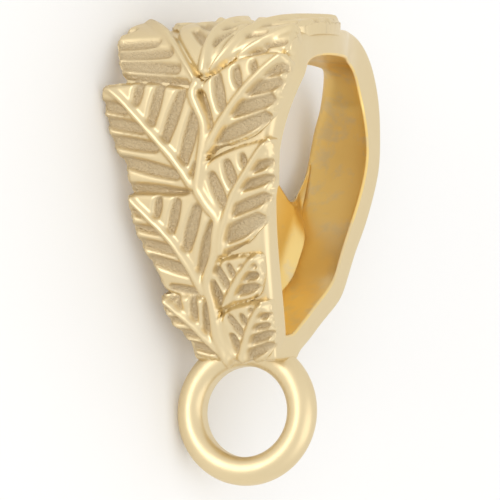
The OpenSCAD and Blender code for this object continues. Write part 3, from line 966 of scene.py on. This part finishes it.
def floor_paper(colours):
    """Plain pale studio paper, matt, with a faint tooth."""
    material = bpy.data.materials.new("pale studio paper")
    material.use_nodes = True
    tree = material.node_tree
    tree.nodes.clear()
    place = add_node(tree, "ShaderNodeTexCoord").outputs["Object"]
    tooth = add_node(tree, "ShaderNodeTexNoise", None, {"Scale": 1 / (2.0 * MM), "Detail": 2.0},
                     {"Vector": place}).outputs["Fac"]
    bump = add_node(tree, "ShaderNodeBump", None, {"Strength": 0.05, "Distance": 0.02 * MM},
                    {"Height": tooth}).outputs["Normal"]
    shader = add_node(tree, "ShaderNodeBsdfPrincipled", None,
                      {"Base Color": (*colours.floor, 1.0), "Roughness": 0.9,
                       "Specular IOR Level": 0.2}, {"Normal": bump})
    add_node(tree, "ShaderNodeOutputMaterial", None, None, {"Surface": shader.outputs["BSDF"]})
    return material


def gold_for(context):
    """The casting's one material, made once."""
    name = "cast 14 carat gold, tumbled"
    return bpy.data.materials.get(name) or cast_gold(context.scene.bail_colours)


# Operators

class MakeBand(bpy.types.Operator):
    """Adds the plain band of the bail, all round the loop"""

    bl_idname = "bail.make_band"
    bl_label = "Band"

    def execute(self, context):
        sizes = context.scene.bail_sizes
        finish_piece("band", band_mesh(sizes, Loop(sizes)), gold_for(context))
        return {"FINISHED"}


class MakeLeaves(bpy.types.Operator):
    """Adds the leaf layer over the panel and the top of the band"""

    bl_idname = "bail.make_leaves"
    bl_label = "Leaves"

    def execute(self, context):
        sizes = context.scene.bail_sizes
        finish_piece("leaves", leaves_mesh(sizes, Loop(sizes)), gold_for(context), 55)
        return {"FINISHED"}


class MakeSideWeb(bpy.types.Operator):
    """Adds the web that closes the low left side of the loop"""

    bl_idname = "bail.make_side_web"
    bl_label = "Side web"

    def execute(self, context):
        sizes = context.scene.bail_sizes
        finish_piece("side_web", web_mesh(sizes, Loop(sizes)), gold_for(context))
        return {"FINISHED"}


class MakeRing(bpy.types.Operator):
    """Adds the round wire ring at the foot"""

    bl_idname = "bail.make_ring"
    bl_label = "Ring"

    def execute(self, context):
        sizes = context.scene.bail_sizes
        mesh = grown_mesh("ring", ring_tree(), {
            "Ring radius": sizes.ring_radius,
            "Wire diameter": sizes.ring_wire,
            "Eye radius": sizes.ring_radius - sizes.ring_wire / 2 + sizes.eye_ream,
            "Round steps": 160,
            "Wire steps": 56,
            "Gold": gold_for(context),
        })
        middle = Vector((0.0, RING_PLACE * sizes.loop_depth,
                         sizes.ring_sink - sizes.ring_radius - sizes.ring_wire / 2))
        mesh.transform(Matrix.Translation(middle)
                       @ Matrix.Rotation(sizes.ring_turn, 4, "Z")
                       @ Matrix.Rotation(math.pi / 2 - sizes.ring_lean, 4, "X"))
        finish_piece("ring", mesh, gold_for(context))
        return {"FINISHED"}


class MakeStudio(bpy.types.Operator):
    """Adds the pale floor, the soft lights and the camera"""

    bl_idname = "bail.make_studio"
    bl_label = "Studio"

    def execute(self, context):
        scene = context.scene
        floor_mesh = mesh_from("floor", [(-2, -2, 0), (2, -2, 0), (2, 2, 0), (-2, 2, 0)],
                               [(0, 1, 2, 3)])
        floor_mesh.materials.append(floor_paper(scene.bail_colours))
        floor = bpy.data.objects.new("floor", floor_mesh)
        scene.collection.objects.link(floor)
        world = bpy.data.worlds.new("soft studio")
        world.use_nodes = True
        world.node_tree.nodes["Background"].inputs["Color"].default_value = (1, 1, 1, 1)
        world.node_tree.nodes["Background"].inputs["Strength"].default_value = 1.0
        scene.world = world
        scene.view_settings.view_transform = "Standard"

        # The camera looks at the casting from about 33 degrees to the right of its front, level
        # with its upright line, which lies along the floor here.
        away = Vector((-0.680821, -0.0783992, 0.728242))
        right = Vector((0.73245, -0.072873, 0.67691))
        up = away.cross(right)
        target = Vector((-2.0121, -0.1790, 3.7300)) * MM
        turned = Matrix((right, up, away)).transposed().to_4x4()
        lens = bpy.data.cameras.new("camera")
        lens.lens = 360.0
        lens.sensor_width = 36.0
        lens.clip_start = 0.01
        camera = bpy.data.objects.new("camera", lens)
        camera.matrix_world = Matrix.Translation(target + away * CAMERA_DISTANCE) @ turned
        scene.collection.objects.link(camera)
        scene.camera = camera

        # Soft boxes, placed by how they are seen from the camera: right, up, towards it.
        for name, side, wide, watts in (
            ("key box", (-1.0, 0.4, 0.9), 0.12, 0.11),
            ("fill box", (1.1, -0.4, 0.9), 0.14, 0.04),
        ):
            box = bpy.data.lights.new(name, "AREA")
            box.size = wide
            box.energy = watts
            lamp = bpy.data.objects.new(name, box)
            spot = (right * side[0] + up * side[1] + away * side[2]).normalized() * BOX_DISTANCE
            lamp.matrix_world = (Matrix.Translation(target + spot)
                                 @ spot.to_track_quat("Z", "Y").to_matrix().to_4x4())
            scene.collection.objects.link(lamp)
        return {"FINISHED"}


class VIEW3D_PT_leaf_bail(bpy.types.Panel):
    """Lists the bail's pieces and sizes"""

    bl_label = "Leaf bail"
    bl_space_type = "VIEW_3D"
    bl_region_type = "UI"
    bl_category = "Leaf bail"

    def draw(self, context):
        for operator in OPERATORS:
            self.layout.operator(operator.bl_idname)
        for group in (context.scene.bail_sizes, context.scene.bail_colours):
            box = self.layout.box()
            for name in group.bl_rna.properties.keys():
                if name not in ("name", "rna_type"):
                    box.prop(group, name)


OPERATORS = (MakeBand, MakeLeaves, MakeSideWeb, MakeRing, MakeStudio)
CLASSES = (BailSizes, BailColours, *OPERATORS, VIEW3D_PT_leaf_bail)


def register():
    for cls in CLASSES:
        bpy.utils.register_class(cls)
    bpy.types.Scene.bail_sizes = PointerProperty(type=BailSizes)
    bpy.types.Scene.bail_colours = PointerProperty(type=BailColours)


def unregister():
    del bpy.types.Scene.bail_colours
    del bpy.types.Scene.bail_sizes
    for cls in reversed(CLASSES):
        bpy.utils.unregister_class(cls)


def main():
    register()
    bpy.ops.bail.make_band()
    bpy.ops.bail.make_leaves()
    bpy.ops.bail.make_side_web()
    bpy.ops.bail.make_ring()
    bpy.ops.bail.make_studio()


if __name__ == "__main__":
    main()
